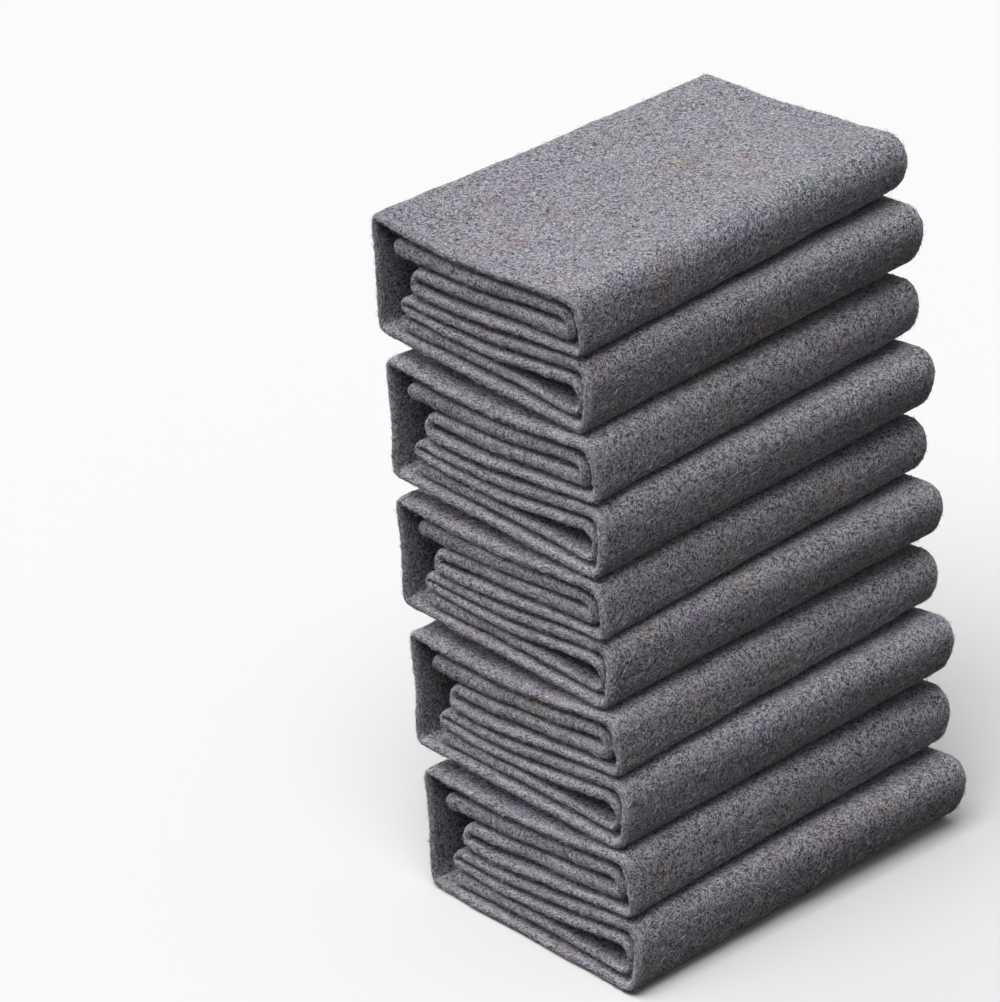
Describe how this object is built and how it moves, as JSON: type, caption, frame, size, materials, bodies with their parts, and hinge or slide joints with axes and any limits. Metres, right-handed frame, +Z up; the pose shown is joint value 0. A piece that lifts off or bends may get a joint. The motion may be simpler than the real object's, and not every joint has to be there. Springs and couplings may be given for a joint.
{
  "type": "stack of moving blankets",
  "caption": "Stack of folded grey felt moving blankets, each one sheet folded back and forth like a book, with a flat spine on one side and two rolls on the other, stepped sideways.",
  "frame": {"origin": "middle of the stack's footprint, at the plane that it rests on", "axes": "+Z up, +X from the spines towards the rolls, Y along the folded width"},
  "size_m": [0.2994, 0.358, 0.5466],
  "materials": {
    "felt": "matte mid grey recycled-fibre felt with light fibres and small dark and tinted flecks"
  },
  "bodies": {
    "root": {"blanket_1": "felt", "blanket_2": "felt", "blanket_3": "felt", "blanket_4": "felt", "blanket_5": "felt"}
  },
  "joints": []
}
